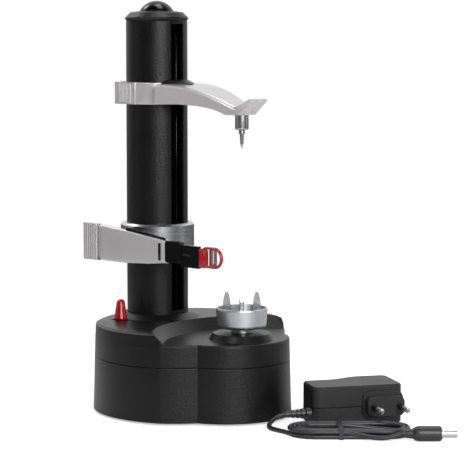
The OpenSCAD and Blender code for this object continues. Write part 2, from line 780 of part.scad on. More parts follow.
// Dark core of the arm: its back stands up as a ridge between the tower and the arm's skin.
module arm_core() {
    ridge_h = arm_rise + 4.2;
    ridge_half = 8.5;
    side_h = arm_rise + 1;
    color(dark) on_tower() translate([0, 0, top_ring_z]) {
        difference() {
            intersection() {
                union() {
                    arm_pocket(0);
                    arm_mouth();
                }
                translate([0, 30, 0]) rotate([90, 0, 0]) linear_extrude(60)
                    polygon([[10, 2.4], [10, ridge_h], [24, ridge_h], [mouth_x, side_h], [60, side_h], [60, 3], [48, 2.4]]);
                rotate([90, 0, 90]) linear_extrude(90) polygon([[-21, -10], [-21, side_h], [-mouth_half, side_h],
                    [-ridge_half, ridge_h], [ridge_half, ridge_h], [mouth_half, side_h], [21, side_h], [21, -10]]);
            }
            translate([0, 0, -1]) cylinder(r = ring_bore, h = ridge_h + 4);
        }
        translate([guide_reach, -key_w / 2, 3]) cube([ring_bore + 1 - guide_reach, key_w, 10]);
    }
}

module release_button() {
    color(silver) on_tower() translate([0, 0, top_ring_z]) difference() {
        union() {
            linear_extrude(top_ring_h) difference() {
                button_outline(0);
                translate([15.4, 0]) square([20, 100], center = true);
            }
            for (s = [-1, 1], i = [0:rib_count - 1]) translate([rib_from + i * rib_step, s * button_half, 1.2])
                cylinder(r = rib_r, h = top_ring_h - 2.4);
        }
        translate([-button_travel / 2, 0, -1]) linear_extrude(top_ring_h + 4) stadium(button_travel, ring_r + clear);
        translate([-50, -50, -20]) cube([100, 100, 20]);
    }
}

module button_outline(grow) {
    corner = button_half - button_r;
    for (s = [-1, 1]) translate([-10, s * corner]) circle(button_r + grow);
    translate([-10 - button_r / 2, 0]) square([button_r + 2 * grow, 2 * corner], center = true);
    translate([-3, 0]) square([14, 2 * (button_half + grow)], center = true);
}

module pin_holder() {
    color(steel) on_tower() translate([axis_gap, 0, 0]) difference() {
        union() {
            translate([0, 0, holder_z]) cylinder(r = holder_r, h = plate_z - holder_z);
            translate([0, 0, plate_z]) cylinder(r = 2.6, h = 3);
        }
        translate([0, 0, holder_z - 1]) cylinder(r = 2.2 + run, h = 8);
    }
}

module centre_pin() {
    color(steel) on_tower() translate([axis_gap, 0, holder_z]) rotate_extrude()
        polygon([[0, 6.6], [2.2, 6.6], [2.2, -2.6], [1.5, -3.4], [1.1, -10], [0.2, -13], [0, -13]]);
}

// ---------- peel carriage ----------

module peel_collar() {
    edge = 1.4;
    color(silver) on_tower() difference() {
        union() {
            translate([0, 0, collar_z]) rotate_extrude() polygon([[ring_bore, 0], [collar_r, 0],
                [collar_r, collar_h - edge], [collar_r - edge, collar_h], [ring_bore, collar_h]]);
            for (z = [collar_z + 0.4, collar_z + collar_h - 4.4]) translate([-pin_back, pin_y, z])
                linear_extrude(3) union() {
                circle(knuckle_r);
                translate([-knuckle_r, 0]) square([2 * knuckle_r, 5]);
            }
        }
        translate([0, 0, collar_z - 1]) cylinder(r = ring_bore, h = collar_h + 2);
        translate([-pin_back, pin_y, collar_z + 3.4]) cylinder(r = knuckle_r + clear, h = collar_h - 7.8);
        translate([-pin_back, pin_y, collar_z - 1]) cylinder(r = pin_r, h = collar_h + 4);
        nut_block();
    }
}

module nut_block() {
    translate([screw_r + clear, -key_w / 2, nut_z]) cube([ring_bore + 1.6 - screw_r - clear, key_w, nut_h]);
}

// Tongue behind the slot that carries the half nut's thread pad.
module half_nut() {
    color("#e4e2da") on_tower() difference() {
        union() {
            nut_block();
            translate([screw_r - 1.4, -key_w / 2, nut_z]) cube([4.8, key_w, nut_h]);
        }
        translate([0, 0, nut_z - 1]) cylinder(r = screw_r + clear, h = nut_h + 2);
    }
}

module hinge_pin() {
    color(steel) translate([pin_x, pin_y, collar_z]) {
        translate([0, 0, -0.2]) cylinder(r = pin_r, h = collar_h - 1.2);
        translate([0, 0, collar_h - 1.4]) cylinder(r = pin_r + 0.4, h = 0.5);
    }
}

module arm_spring() {
    coils = 5;
    color(steel) translate([pin_x, pin_y, collar_z + 3.6]) rotate_extrude() union() {
        translate([pin_r + 0.1, 0]) square([0.4, coils * 0.9]);
        for (i = [0:coils - 1]) translate([pin_r + 0.45, 0.45 + i * 0.9]) circle(0.44);
    }
}

// Outline of the arm's face, along X and up, measured from the tower axis and the arm's lower edge.
module arm_face() {
    polygon(concat([[-30.2, 25.6], [-22, 25.4], [-13.3, 24.6], [1.6, 23.6], [21.6, 21.5], [41.6, 19.4], [41.6, 3.2],
        [26.7, 1.4], [0.4, 0.1], [-13, 0]], [for (a = [-90:-18:-180]) [-25.2 + 5 * cos(a), 5 + 5 * sin(a)]]));
}

module peel_arm() {
    color(silver) on_tower() difference() {
        union() {
            translate([0, arm_inner, arm_low]) rotate([90, 0, 0]) linear_extrude(arm_t) arm_face();
            translate([0, arm_inner + 2, arm_low]) rotate([90, 0, 0]) linear_extrude(2.2) difference() {
                arm_face();
                translate([6, 1.5]) scale([0.93, 0.88]) translate([-6, 0]) arm_face();
            }
            translate([-pin_back, pin_y, collar_z + 8.6]) linear_extrude(collar_h - 13.3) union() {
                circle(knuckle_r);
                translate([-knuckle_r, arm_inner - pin_y - 0.5])
                    square([2 * knuckle_r, pin_y - arm_inner + 0.5]);
            }
        }
        translate([-pin_back, pin_y, collar_z]) cylinder(r = pin_r + run, h = collar_h);
        for (z = [collar_z - 0.2, collar_z + collar_h - 4.7]) translate([-pin_back, pin_y, z])
            cylinder(r = knuckle_r + clear, h = 4.9);
        translate([34.8, -arm_y - 1, collar_z + 3.2]) cube([3.1, 6, 12.6]);
        translate([tongue_x - 0.2, arm_inner, collar_z + 3.2]) cube([14, 3, 12.6]);
    }
}

module thumb_grip() {
    color(silver) on_tower() translate([-grip_reach, -arm_y, collar_z - 2]) linear_extrude(26.4) difference() {
        union() {
            translate([2.4, 1.2]) square([grip_l, 3.2]);
            translate([2.4, 2.8]) circle(2.4);
            for (i = [0:grip_ribs - 1]) translate([2.6 + i * grip_pitch, 1.2]) circle(0.9);
        }
        translate([grip_l, -5]) square([20, 20]);
    }
}

// Dark trim strip on the top edge of the arm, highest beside the hinge.
module arm_liner() {
    color(dark) on_tower() translate([0, -arm_y + 1.3, arm_low]) rotate([90, 0, 0]) linear_extrude(0.8)
        polygon([[-16, 24.88], [-13.3, 24.6], [1.6, 23.6], [21.6, 21.5], [41.6, 19.4], [41.6, 21], [21.6, 23.3],
            [1.6, 25.9], [-12.6, 28.6]]);
}

module blade_holder() {
    color(dark) on_tower() {
        difference() {
            translate([41.8, -arm_y + 3.5, collar_z + 2.6]) rotate([90, 0, 0]) linear_extrude(3.4)
                translate([8.1, 7.7]) round_rect([16.2, 15.2], 2);
            translate([59, -arm_y - 1, collar_z + 20]) rotate([0, 45, 0]) cube([3, 10, 3], center = true);
        }
        translate([tongue_x, arm_inner, collar_z + 3.4]) cube([42 - tongue_x, 1.9, 12.2]);
        translate([34.9, -arm_y + 0.3, collar_z + 3.3]) cube([2.9, 1.4, 12.4]);
        difference() {
            translate([57, -arm_y + 0.7, collar_z + stem_low]) cube([stem_end - 57, 2.6, stem_h]);
            translate([56, -arm_y - 0.1, collar_z + 8.6]) cube([12, 1.1, 0.9]);
        }
    }
}

// Hoop round the blade, with a pad that meets the holder's stem.
module blade_guard() {
    pad_h = stem_h - 1.6;
    pad_x = tower_x + stem_end - blade_x;
    color(red) translate([blade_x, -arm_y + 3.2, blade_z]) rotate([90, 0, 0]) linear_extrude(2.4) difference() {
        union() {
            stadium(guard_run, guard_r);
            translate([pad_x, collar_z + stem_low + 0.8 - blade_z]) square([4.4, pad_h]);
        }
        stadium(guard_run, guard_r - guard_t);
    }
}

module peel_blade() {
    bow = 20;
    blade_half = guard_r - guard_t / 2;
    color(steel) translate([blade_x, -arm_y + 2, blade_z]) intersection() {
        rotate([90, 0, 0]) translate([0, 0, -6]) linear_extrude(12) difference() {
            square([blade_w, 2 * blade_half], center = true);
            square([1.2, 2 * (guard_r - guard_t) - 2], center = true);
        }
        translate([0, 0, -blade_half]) linear_extrude(2 * blade_half) translate([0, -bow + 2.6]) difference() {
            circle(bow);
            circle(bow - 0.8);
        }
    }
}

// ---------- mains adapter set ----------

module at_adapter() {
    translate([adapter_at.x, adapter_at.y, 0]) rotate(adapter_turn) children();
}

// The adapter body is set so that its strain relief ends where the cord begins.
module at_body() {
    at_adapter() translate([lead_points[0].x, lead_points[0].y, 0]) rotate(body_turn)
        translate([relief_l + adapter_l / 2, adapter_w / 2 - relief_in, 0]) children();
}

// Plan of the adapter body: the side away from the plug swings out towards the plug's end.
module adapter_plan(inset) {
    half_l = adapter_l / 2 - inset;
    near = -adapter_w / 2 + inset;
    corner = 5 - inset;
    far = adapter_w / 2 - inset;
    swing = [for (t = [0:1 / 12:1.01]) [-14 + 26 * t, far - swell * (0.5 + 0.5 * cos(180 * t))]];
    polygon(concat([[-half_l + corner, near], [half_l - corner, near], [half_l - corner, far]],
        [for (i = [12:-1:0]) swing[i]], [[-half_l + corner, far - swell]]));
    translate([-half_l, near + corner]) square([corner + 1, adapter_w - swell - 2 * inset - 2 * corner]);
    translate([half_l - corner - 1, near + corner]) square([corner + 1, adapter_w - 2 * inset - 2 * corner]);
    for (y = [near + corner, far - swell - corner]) translate([-half_l + corner, y]) circle(corner);
    for (y = [near + corner, far - corner]) translate([half_l - corner, y]) circle(corner);
}

module adapter_shell(low, high, inset) {
    translate([0, 0, low]) linear_extrude(high - low) adapter_plan(inset);
}

module adapter_base() {
    split = adapter_h * 0.45;
    color(black) at_body() {
        adapter_shell(0.8, split, 0);
        adapter_shell(0, 0.8, 0.8);
    }
}

module adapter_lid() {
    split = adapter_h * 0.45;
    color(black) at_body() {
        adapter_shell(split, split + 0.6, 0.5);
        adapter_shell(split + 0.6, adapter_h - 0.8, 0);
        adapter_shell(adapter_h - 0.8, adapter_h, 0.8);
    }
}

module plug_block() {
    color(black) at_body() translate([plug_x, -adapter_w / 2, adapter_h / 2]) rotate([90, 0, 0]) {
        linear_extrude(2) round_rect([29, 20], 6);
        translate([0, 0, 2]) linear_extrude(plug_l - 2) round_rect([26.4, 13.6], 4);
    }
}

module at_pins() {
    at_body() translate([plug_x, -adapter_w / 2 - plug_l, adapter_h / 2]) for (s = [-1, 1])
        translate([s * pin_gap / 2, 0, 0]) rotate([90, 0, 0]) children();
}

module plug_pins() {
    color(steel) at_pins() {
        cylinder(r = plug_pin_r - 0.5, h = sleeve_l);
        translate([0, 0, sleeve_l]) cylinder(r = plug_pin_r, h = plug_pin_l - 2 - sleeve_l);
        translate([0, 0, plug_pin_l - 2]) cylinder(r1 = plug_pin_r, r2 = plug_pin_r / 2, h = 2);
    }
}

module pin_sleeves() {
    color(black) at_pins() difference() {
        cylinder(r = plug_pin_r, h = sleeve_l);
        translate([0, 0, -1]) cylinder(r = plug_pin_r - 0.5, h = sleeve_l + 2);
    }
}

module cord_relief() {
    color(black) at_body() translate([-adapter_l / 2, relief_in - adapter_w / 2, lead_points[0].z])
        rotate([0, -90, 0]) difference() {
        cylinder(r1 = 4.2, r2 = cord_d / 2 + 0.5, h = relief_l);
        for (i = [0:3]) translate([0, 0, 3.4 + i * 3.4]) difference() {
            cylinder(r = 8, h = 1.3);
            cylinder(r = cord_d / 2 + 0.6, h = 1.3);
        }
    }
}

module cord_lead() {
    color(black) at_adapter() cord_tube(lead_points, cord_d, 8);
}

module cord_hank() {
    color(black) at_adapter() translate([hank_at.x, hank_at.y, 0]) linear_extrude(hank_h) difference() {
        stadium(hank_run, hank_r);
        stadium(hank_run, hank_core - cord_d / 2);
    }
}

module cord_tie() {
    color(black) at_adapter() translate([hank_at.x - 6, hank_at.y, 0]) difference() {
        translate([0, 0, hank_h / 2 + 0.5]) cube([3, 2 * hank_r + 2.4, hank_h + 1], center = true);
        translate([0, 0, hank_h / 2]) cube([9, 2 * hank_r, hank_h], center = true);
    }
}

module cord_tail() {
    color(black) at_adapter() cord_tube(tail_points, cord_d, 8);
}

module barrel_grip() {
    color(black) at_adapter() translate(tail_end) rotate([0, 90, 0]) rotate_extrude()
        polygon([[0, 0], [2.6, 0], [3.4, 7], [4.7, 9], [5.1, 11], [5.1, 25], [4.4, 26], [0, 26]]);
}

module barrel_sleeve() {
    color(steel) at_adapter() translate(tail_end + [26, 0, 0]) rotate([0, 90, 0]) difference() {
        union() {
            cylinder(r = 3.6, h = 1);
            cylinder(r = 2.75, h = 10.5);
        }
        translate([0, 0, 2]) cylinder(r = 1.1, h = 12);
    }
}

lower_housing();
upper_housing();
base_plate();
rubber_feet();
housing_screws();
battery_cover();
tower_tube();
tower_guide();
tower_cap();
cap_dome();
lead_screw();
screw_gear();
screw_bush();
motor();
motor_pinion();
motor_plate();
idler_gear();
idler_pin();
turntable_gear();
turntable_shaft();
turntable_bush();
turntable_cup();
turntable_prongs();
centre_spike();
dc_socket();
switch_body();
switch_lever();
top_arm();
arm_core();
release_button();
pin_holder();
centre_pin();
peel_collar();
half_nut();
hinge_pin();
arm_spring();
peel_arm();
arm_liner();
thumb_grip();
blade_holder();
blade_guard();
peel_blade();
adapter_base();
adapter_lid();
plug_block();
plug_pins();
pin_sleeves();
cord_relief();
cord_lead();
cord_hank();
cord_tie();
cord_tail();
barrel_grip();
barrel_sleeve();
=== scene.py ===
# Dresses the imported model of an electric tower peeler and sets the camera, the lamps and the floor.
import json
import math

import bmesh
import bpy
from mathutils import Matrix, Vector


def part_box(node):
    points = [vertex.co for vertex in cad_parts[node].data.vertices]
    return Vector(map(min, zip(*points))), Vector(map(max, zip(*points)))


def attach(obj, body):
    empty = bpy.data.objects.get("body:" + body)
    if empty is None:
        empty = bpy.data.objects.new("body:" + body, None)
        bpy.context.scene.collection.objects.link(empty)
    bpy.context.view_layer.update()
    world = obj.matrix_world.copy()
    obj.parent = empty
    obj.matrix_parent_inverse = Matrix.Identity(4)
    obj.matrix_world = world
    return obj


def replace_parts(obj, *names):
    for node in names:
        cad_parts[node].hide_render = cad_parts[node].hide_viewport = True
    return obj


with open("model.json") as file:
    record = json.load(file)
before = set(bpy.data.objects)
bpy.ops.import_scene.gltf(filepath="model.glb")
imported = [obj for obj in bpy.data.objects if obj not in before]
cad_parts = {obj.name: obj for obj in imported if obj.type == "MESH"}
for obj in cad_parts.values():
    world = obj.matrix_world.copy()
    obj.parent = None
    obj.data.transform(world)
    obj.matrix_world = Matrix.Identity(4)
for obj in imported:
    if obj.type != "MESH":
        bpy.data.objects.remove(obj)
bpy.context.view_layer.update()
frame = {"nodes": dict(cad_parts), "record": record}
mm = 0.001
print("frame loaded:", len(frame["nodes"]), "nodes")

tubeLow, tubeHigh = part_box("tower_tube")
towerX = ((tubeLow + tubeHigh) / 2).x


# ---- camera ----

cameraView = {
    "place": (towerX + 1.1003, -1.0210, 0.280),
    "azimuth": 45.0,
    "lookDown": 6.02,
    "lens": 159.7,
    "sensor": 36.0,
    "nearest": 0.05,
}


def setCamera(spec):
    camera = bpy.data.objects.new("camera", bpy.data.cameras.new("camera"))
    camera.data.lens = spec["lens"]
    camera.data.sensor_width = spec["sensor"]
    camera.data.clip_start = spec["nearest"]
    turn = math.radians(spec["azimuth"])
    dip = math.radians(spec["lookDown"])
    aim = Vector((-math.sin(turn) * math.cos(dip), math.cos(turn) * math.cos(dip), -math.sin(dip)))
    camera.location = spec["place"]
    camera.rotation_euler = aim.to_track_quat("-Z", "Y").to_euler()
    bpy.context.scene.collection.objects.link(camera)
    bpy.context.scene.camera = camera


setCamera(cameraView)


# ---- colours and nodes ----


def fromHex(code):
    # sRGB hex to linear, with alpha
    parts = [int(code[i : i + 2], 16) / 255 for i in (1, 3, 5)]
    return [c / 12.92 if c <= 0.04045 else ((c + 0.055) / 1.055) ** 2.4 for c in parts] + [1.0]


def addNode(tree, kind, inputs=None, **settings):
    # an input that is an output socket is linked, anything else is set
    node = tree.nodes.new(kind)
    for name, value in settings.items():
        setattr(node, name, value)
    for name, value in (inputs or {}).items():
        if isinstance(value, bpy.types.NodeSocket):
            tree.links.new(value, node.inputs[name])
        else:
            node.inputs[name].default_value = value
    return node


def startMaterial(name, spec):
    material = bpy.data.materials.new(name)
    material.use_nodes = True
    tree = material.node_tree
    shader = tree.nodes["Principled BSDF"]
    shader.inputs["Base Color"].default_value = fromHex(spec["colour"])
    shader.inputs["Metallic"].default_value = spec.get("metallic", 0.0)
    shader.inputs["Roughness"].default_value = spec["roughness"]
    if "ior" in spec:
        shader.inputs["IOR"].default_value = spec["ior"]
    if "coat" in spec:
        shader.inputs["Coat Weight"].default_value = spec["coat"]["weight"]
        shader.inputs["Coat Roughness"].default_value = spec["coat"]["roughness"]
    if "glow" in spec:
        shader.inputs["Subsurface Weight"].default_value = spec["glow"]["weight"]
        shader.inputs["Subsurface Radius"].default_value = spec["glow"]["radius"]
    place = addNode(tree, "ShaderNodeTexCoord").outputs["Object"]
    return material, tree, shader, place


def spread(tree, source, low, high):
    # maps a 0 to 1 pattern onto a span of values
    inputs = {"Value": source, "To Min": low, "To Max": high}
    return addNode(tree, "ShaderNodeMapRange", inputs).outputs["Result"]


def ease(tree, source, start, end, low=0.0, high=1.0):
    # runs softly from low to high while the source goes from start to end
    inputs = {"Value": source, "From Min": start, "From Max": end, "To Min": low, "To Max": high}
    node = addNode(tree, "ShaderNodeMapRange", inputs, interpolation_type="SMOOTHSTEP")
    return node.outputs["Result"]


def blendColours(tree, source, first, second):
    # sockets 6, 7 and output 2 are the colour ones
    inputs = {0: source, 6: fromHex(first), 7: fromHex(second)}
    return addNode(tree, "ShaderNodeMix", inputs, data_type="RGBA").outputs[2]


def addPattern(tree, place, spec):
    # clouds, or cells where no detail is given, that are size mm across
    inputs = {"Vector": place, "Scale": 1 / (spec["size"] * mm)}
    if "detail" not in spec:
        return addNode(tree, "ShaderNodeTexVoronoi", inputs).outputs["Distance"]
    if "stretch" in spec:
        stretched = addNode(tree, "ShaderNodeMapping", {"Vector": place, "Scale": spec["stretch"]})
        inputs["Vector"] = stretched.outputs["Vector"]
    inputs |= {"Detail": spec["detail"], "Distortion": spec.get("distortion", 0.0)}
    return addNode(tree, "ShaderNodeTexNoise", inputs).outputs["Fac"]


def addBump(tree, shader, height, spec):
    # depth in mm, and round softens what is left of a hard edge
    inputs = {"Height": height, "Distance": spec["depth"] * mm, "Strength": spec["strength"]}
    if "round" in spec:
        bevel = addNode(tree, "ShaderNodeBevel", {"Radius": spec["round"] * mm}, samples=4)
        inputs["Normal"] = bevel.outputs["Normal"]
    bump = addNode(tree, "ShaderNodeBump", inputs)
    tree.links.new(bump.outputs["Normal"], shader.inputs["Normal"])


# ---- finishes ----

# The fine pattern carries the relief. It also carries the blend of colours and the span of
# roughness, unless there is a broad pattern for those two.
finishSpecs = {
    # ABS moulded in a spark-eroded tool: nearly black, satin, with a fine pebble that breaks up
    # highlights. The pebble is drawn coarser than the real 0.1 mm so that it shows.
    "sparkErodedAbs": {
        "colour": "#08080a", "blend": ("#08080a", "#0c0c0e"), "ior": 1.38,
        "roughness": 0.36, "roughSpan": (0.3, 0.42),
        "fine": {"size": 1.2, "detail": 3.0}, "broad": {"size": 26.0, "detail": 4.0},
        "bump": {"depth": 0.2, "strength": 1.0, "round": 0.8},
    },
    # The adapter's case is a greyer, duller moulding with a finer pebble.
    "adapterAbs": {
        "colour": "#19191b", "blend": ("#19191b", "#212123"), "ior": 1.45,
        "roughness": 0.46, "roughSpan": (0.4, 0.52),
        "fine": {"size": 0.7, "detail": 3.0}, "broad": {"size": 26.0, "detail": 4.0},
        "bump": {"depth": 0.2, "strength": 1.0, "round": 0.8},
    },
    # ABS from a polished tool: the same black with a clear, slightly wavy gloss.
    "polishedAbs": {
        "colour": "#060608", "ior": 1.42, "roughness": 0.12, "roughSpan": (0.08, 0.2),
        "fine": {"size": 9.0, "detail": 1.0}, "broad": {"size": 14.0, "detail": 5.0},
        "bump": {"depth": 0.03, "strength": 0.35, "round": 0.4},
    },
    # Silver lacquer over ABS: metal flake under a thin clear coat gives a satin, slightly
    # sparkling grey. The flake is drawn far coarser than a real one of 0.05 mm.
    "silverLacquer": {
        "colour": "#cfcdce", "blend": ("#cfcdce", "#bfbcbd"), "metallic": 0.5,
        "roughness": 0.33, "roughSpan": (0.24, 0.36), "coat": {"weight": 0.25, "roughness": 0.2},
        "fine": {"size": 0.7}, "broad": {"size": 30.0, "detail": 3.0},
        "bump": {"depth": 0.006, "strength": 0.15},
    },
    # Nickel plate over turned metal: bright and satin, with faint lines that run round it.
    "nickelPlate": {
        "colour": "#c3c4c6", "metallic": 1.0, "roughness": 0.2, "roughSpan": (0.25, 0.31),
        "fine": {"size": 0.9, "detail": 2.0, "stretch": (0.06, 0.06, 1.0)},
        "bump": {"depth": 0.0004, "strength": 0.1},
    },
    # Turned and bead-blasted aluminium: pale, matte, with a soft wide highlight.
    "blastedAluminium": {
        "colour": "#c9cbce", "metallic": 1.0, "roughness": 0.38, "roughSpan": (0.32, 0.46),
        "fine": {"size": 0.8, "detail": 3.0}, "broad": {"size": 12.0, "detail": 3.0},
        "bump": {"depth": 0.02, "strength": 0.35, "round": 0.4},
    },
    # Stainless steel, stamped and barrel polished: bright with fine random scratches.
    "stampedSteel": {
        "colour": "#c8cacc", "metallic": 1.0, "roughness": 0.2, "roughSpan": (0.2, 0.3),
        "fine": {"size": 0.5, "detail": 4.0, "stretch": (0.2, 1.0, 0.15)},
        "bump": {"depth": 0.0006, "strength": 0.1},
    },
    # Ground blade steel: straight grinding lines across the edge.
    "groundSteel": {
        "colour": "#d0d2d4", "metallic": 1.0, "roughness": 0.24, "roughSpan": (0.16, 0.34),
        "fine": {"size": 0.35, "detail": 2.0, "stretch": (1.0, 1.0, 0.08)},
        "bump": {"depth": 0.01, "strength": 0.4},
    },
    # Polycarbonate, dyed red and moulded glossy: deep colour with a sharp highlight.
    "redPolycarbonate": {
        "colour": "#ae0c14", "blend": ("#ae0c14", "#84060c"), "ior": 1.5,
        "roughness": 0.12, "roughSpan": (0.1, 0.24), "coat": {"weight": 0.3, "roughness": 0.04},
        "glow": {"weight": 0.05, "radius": (0.002, 0.0004, 0.0004)},
        "fine": {"size": 5.0, "detail": 2.0, "distortion": 0.6},
        "bump": {"depth": 0.02, "strength": 0.25, "round": 0.4},
    },
    # Cast nylon gear stock, natural white: waxy and slightly see-through.
    "castNylon": {
        "colour": "#e3e0d4", "blend": ("#e3e0d4", "#d6d2c4"), "ior": 1.53, "roughness": 0.42,
        "glow": {"weight": 0.2, "radius": (0.002, 0.0018, 0.0014)},
        "fine": {"size": 6.0, "detail": 3.0},
        "bump": {"depth": 0.02, "strength": 0.3, "round": 0.2},
    },
    # Sintered bronze: open pores leave a speckled, dull gold.
    "sinteredBronze": {
        "colour": "#a9874e", "blend": ("#7d6236", "#a9874e"), "metallic": 0.95, "roughness": 0.42,
        "fine": {"size": 0.6},
        "bump": {"depth": 0.03, "strength": 0.4},
    },
    # Natural rubber pads: dead matte with a dusty bloom.
    "rubberPad": {
        "colour": "#26262a", "blend": ("#26262a", "#3a3a3e"), "roughness": 0.85,
        "fine": {"size": 3.0, "detail": 5.0},
        "bump": {"depth": 0.06, "strength": 0.4},
    },
    # Soft PVC of the low-voltage cord: slightly rubbery black with long soft highlights.
    "cordPvc": {
        "colour": "#1b1b1e", "blend": ("#1b1b1e", "#26262a"), "ior": 1.53,
        "roughness": 0.36, "roughSpan": (0.28, 0.5),
        "fine": {"size": 2.2, "detail": 4.0},
        "bump": {"depth": 0.03, "strength": 0.4},
    },
}


def makeFinish(name, spec):
    material, tree, shader, place = startMaterial(name, spec)
    fine = addPattern(tree, place, spec["fine"])
    broad = addPattern(tree, place, spec["broad"]) if "broad" in spec else fine
    if "blend" in spec:
        tree.links.new(blendColours(tree, broad, *spec["blend"]), shader.inputs["Base Color"])
    if "roughSpan" in spec:
        tree.links.new(spread(tree, broad, *spec["roughSpan"]), shader.inputs["Roughness"])
    addBump(tree, shader, fine, spec["bump"])
    return material


finishes = {name: makeFinish(name, spec) for name, spec in finishSpecs.items()}
print("finishes made:", len(finishes))


# ---- pieces: shared helpers ----


def paint(obj, finish):
    obj.data.materials.clear()
    obj.data.materials.append(finishes[finish])


def bodyOf(node):
    for body, members in frame["record"]["behaviour"]["bodies"].items():
        if node in members:
            return body
    raise ValueError(node)


def addPiece(name, data, finish, node):
    # the piece rides with the CAD node that it belongs to
    obj = bpy.data.objects.new(name, data)
    bpy.context.scene.collection.objects.link(obj)
    paint(obj, finish)
    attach(obj, bodyOf(node))
    return obj


# ---- adapter cord ----

# The route, in mm in the adapter set's own frame: a free stretch, a flat hank and a second stretch.
cordSpec = {
    "diameter": 3.2,
    "adapterAt": (124, 34),
    "adapterTurn": 45.0,
    "hankAt": (-4, -34),
    "hankRun": 48,
    "laneRadius": {"outer": 16.0, "middle": 12.8, "gap": 3.2},
    # turns between which the cord moves a lane in or out
    "laneSteps": [(0.8, 1.0, -1), (1.8, 2.0, -1), (3.15, 3.42, 1), (4.15, 4.42, 1)],
    "layers": (1.6, 4.8),
    "layerStep": (2.58, 2.8),
    "startTurn": 0.02,
    "turns": 5.22,
    "pointsPerTurn": 44,
    "leadPoints": [
        [-46, -4, 8], [-49, -4.8, 7.6], [-52.5, -6.2, 6.2], [-55.5, -8.6, 4.2],
        [-57.2, -12, 2.5], [-57.4, -16, 1.7], [-56, -20.5, 1.6], [-53, -25, 1.6],
        [-49.6, -29.2, 1.6], [-46.8, -32, 1.6],
    ],
    "tailPoints": [
        [-9, -49.8, 4.5], [-2.5, -50.5, 4], [3.5, -52, 3.2], [9.5, -54, 2.2],
        [15.5, -55.2, 1.8], [21, -55.6, 2.2], [25.5, -55.7, 3.6], [30, -55.7, 5.1],
    ],
}


def besideBase(point):
    # from the adapter set's own frame, in mm, to the model's
    turn = math.radians(cordSpec["adapterTurn"])
    x, y, z = point
    dx, dy = cordSpec["adapterAt"]
    return Vector((
        dx + x * math.cos(turn) - y * math.sin(turn),
        dy + x * math.sin(turn) + y * math.cos(turn),
        z,
    )) * mm


def step(value, low, high):
    share = min(1.0, max(0.0, (value - low) / (high - low)))
    return share * share * (3 - 2 * share)


def hankPoint(turns, spec):
    # lanes go outer, middle, inner on the floor, then inner, middle, outer on top
    lanes = spec["laneRadius"]
    shift = sum(way * step(turns, start, end) for start, end, way in spec["laneSteps"])
    radius = lanes["outer"] + lanes["gap"] * shift
    low, high = spec["layers"]
    height = low + (high - low) * step(turns, *spec["layerStep"])
    quarter = math.pi * lanes["middle"] / 2
    run = spec["hankRun"]
    half = run / 2
    along = (turns % 1.0) * (4 * quarter + 2 * run)
    if along < quarter:
        centre, angle = -half, math.pi + along / quarter * math.pi / 2
    elif along < quarter + run:
        centre, angle = -half + along - quarter, -math.pi / 2
    elif along < 3 * quarter + run:
        centre, angle = half, -math.pi / 2 + (along - quarter - run) / (2 * quarter) * math.pi
    elif along < 3 * quarter + 2 * run:
        centre, angle = half - (along - 3 * quarter - run), math.pi / 2
    else:
        centre = -half
        angle = math.pi / 2 + (along - 3 * quarter - 2 * run) / quarter * math.pi / 2
    x, y = spec["hankAt"]
    return [x + centre + radius * math.cos(angle), y + radius * math.sin(angle), height]


def makeCord(spec):
    perTurn = spec["pointsPerTurn"]
    count = int(spec["turns"] * perTurn)
    coil = [hankPoint(spec["startTurn"] + i / perTurn, spec) for i in range(count)]
    route = [besideBase(p) for p in spec["leadPoints"] + coil + spec["tailPoints"]]
    curve = bpy.data.curves.new("adapterCord", "CURVE")
    curve.dimensions = "3D"
    curve.bevel_depth = spec["diameter"] / 2 * mm
    curve.bevel_resolution = 4
    curve.resolution_u = 3
    curve.use_fill_caps = True
    line = curve.splines.new("NURBS")
    line.points.add(len(route) - 1)
    for point, place in zip(line.points, route):
        point.co = (*place, 1.0)
    line.order_u = 4
    line.use_endpoint_u = True
    return curve, route


cordCurve, cordRoute = makeCord(cordSpec)
adapterCord = addPiece("adapterCord", cordCurve, "cordPvc", "cord_lead")
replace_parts(adapterCord, "cord_lead", "cord_hank", "cord_tail")
cordLength = sum((b - a).length for a, b in zip(cordRoute, cordRoute[1:]))
print("cord laid:", round(cordLength, 3), "m")


# ---- meshes: shared helpers ----

# Own pieces are made in mm, with x measured from the tower's axis.


def bezierAt(points, t):
    points = [Vector(p) for p in points]
    while len(points) > 1:
        points = [a.lerp(b, t) for a, b in zip(points, points[1:])]
    return points[0]


def curveLine(points, steps=24):
    return [bezierAt(points, i / steps) for i in range(steps + 1)]


def heightAt(line, x):
    # height of a line of points at x, and of its ends beyond them
    if x <= line[0].x:
        return line[0].y
    for a, b in zip(line, line[1:]):
        if x <= b.x:
            return a.y + (b.y - a.y) * (x - a.x) / (b.x - a.x)
    return line[-1].y


def addLoft(bm, sections, closed=False):
    # skin over closed sections, capped at both ends or joined into a loop
    rows = [[bm.verts.new(point) for point in section] for section in sections]
    pairs = list(zip(rows, rows[1:])) + ([(rows[-1], rows[0])] if closed else [])
    for before, after in pairs:
        for i in range(len(before)):
            j = (i + 1) % len(before)
            bm.faces.new((before[i], before[j], after[j], after[i]))
    if not closed:
        bm.faces.new(reversed(rows[0]))
        bm.faces.new(rows[-1])


def addTurned(bm, profile, steps, around=(0, 0)):
    # profile points are (radius, height), closed
    x, y = around
    sections = []
    for i in range(steps):
        angle = i / steps * math.tau
        sections.append([(x + r * math.cos(angle), y + r * math.sin(angle), z) for r, z in profile])
    addLoft(bm, sections, closed=True)


def addPrism(bm, plan, low, high):
    addLoft(bm, [[(x, y, z) for x, y in plan] for z in (low, high)])


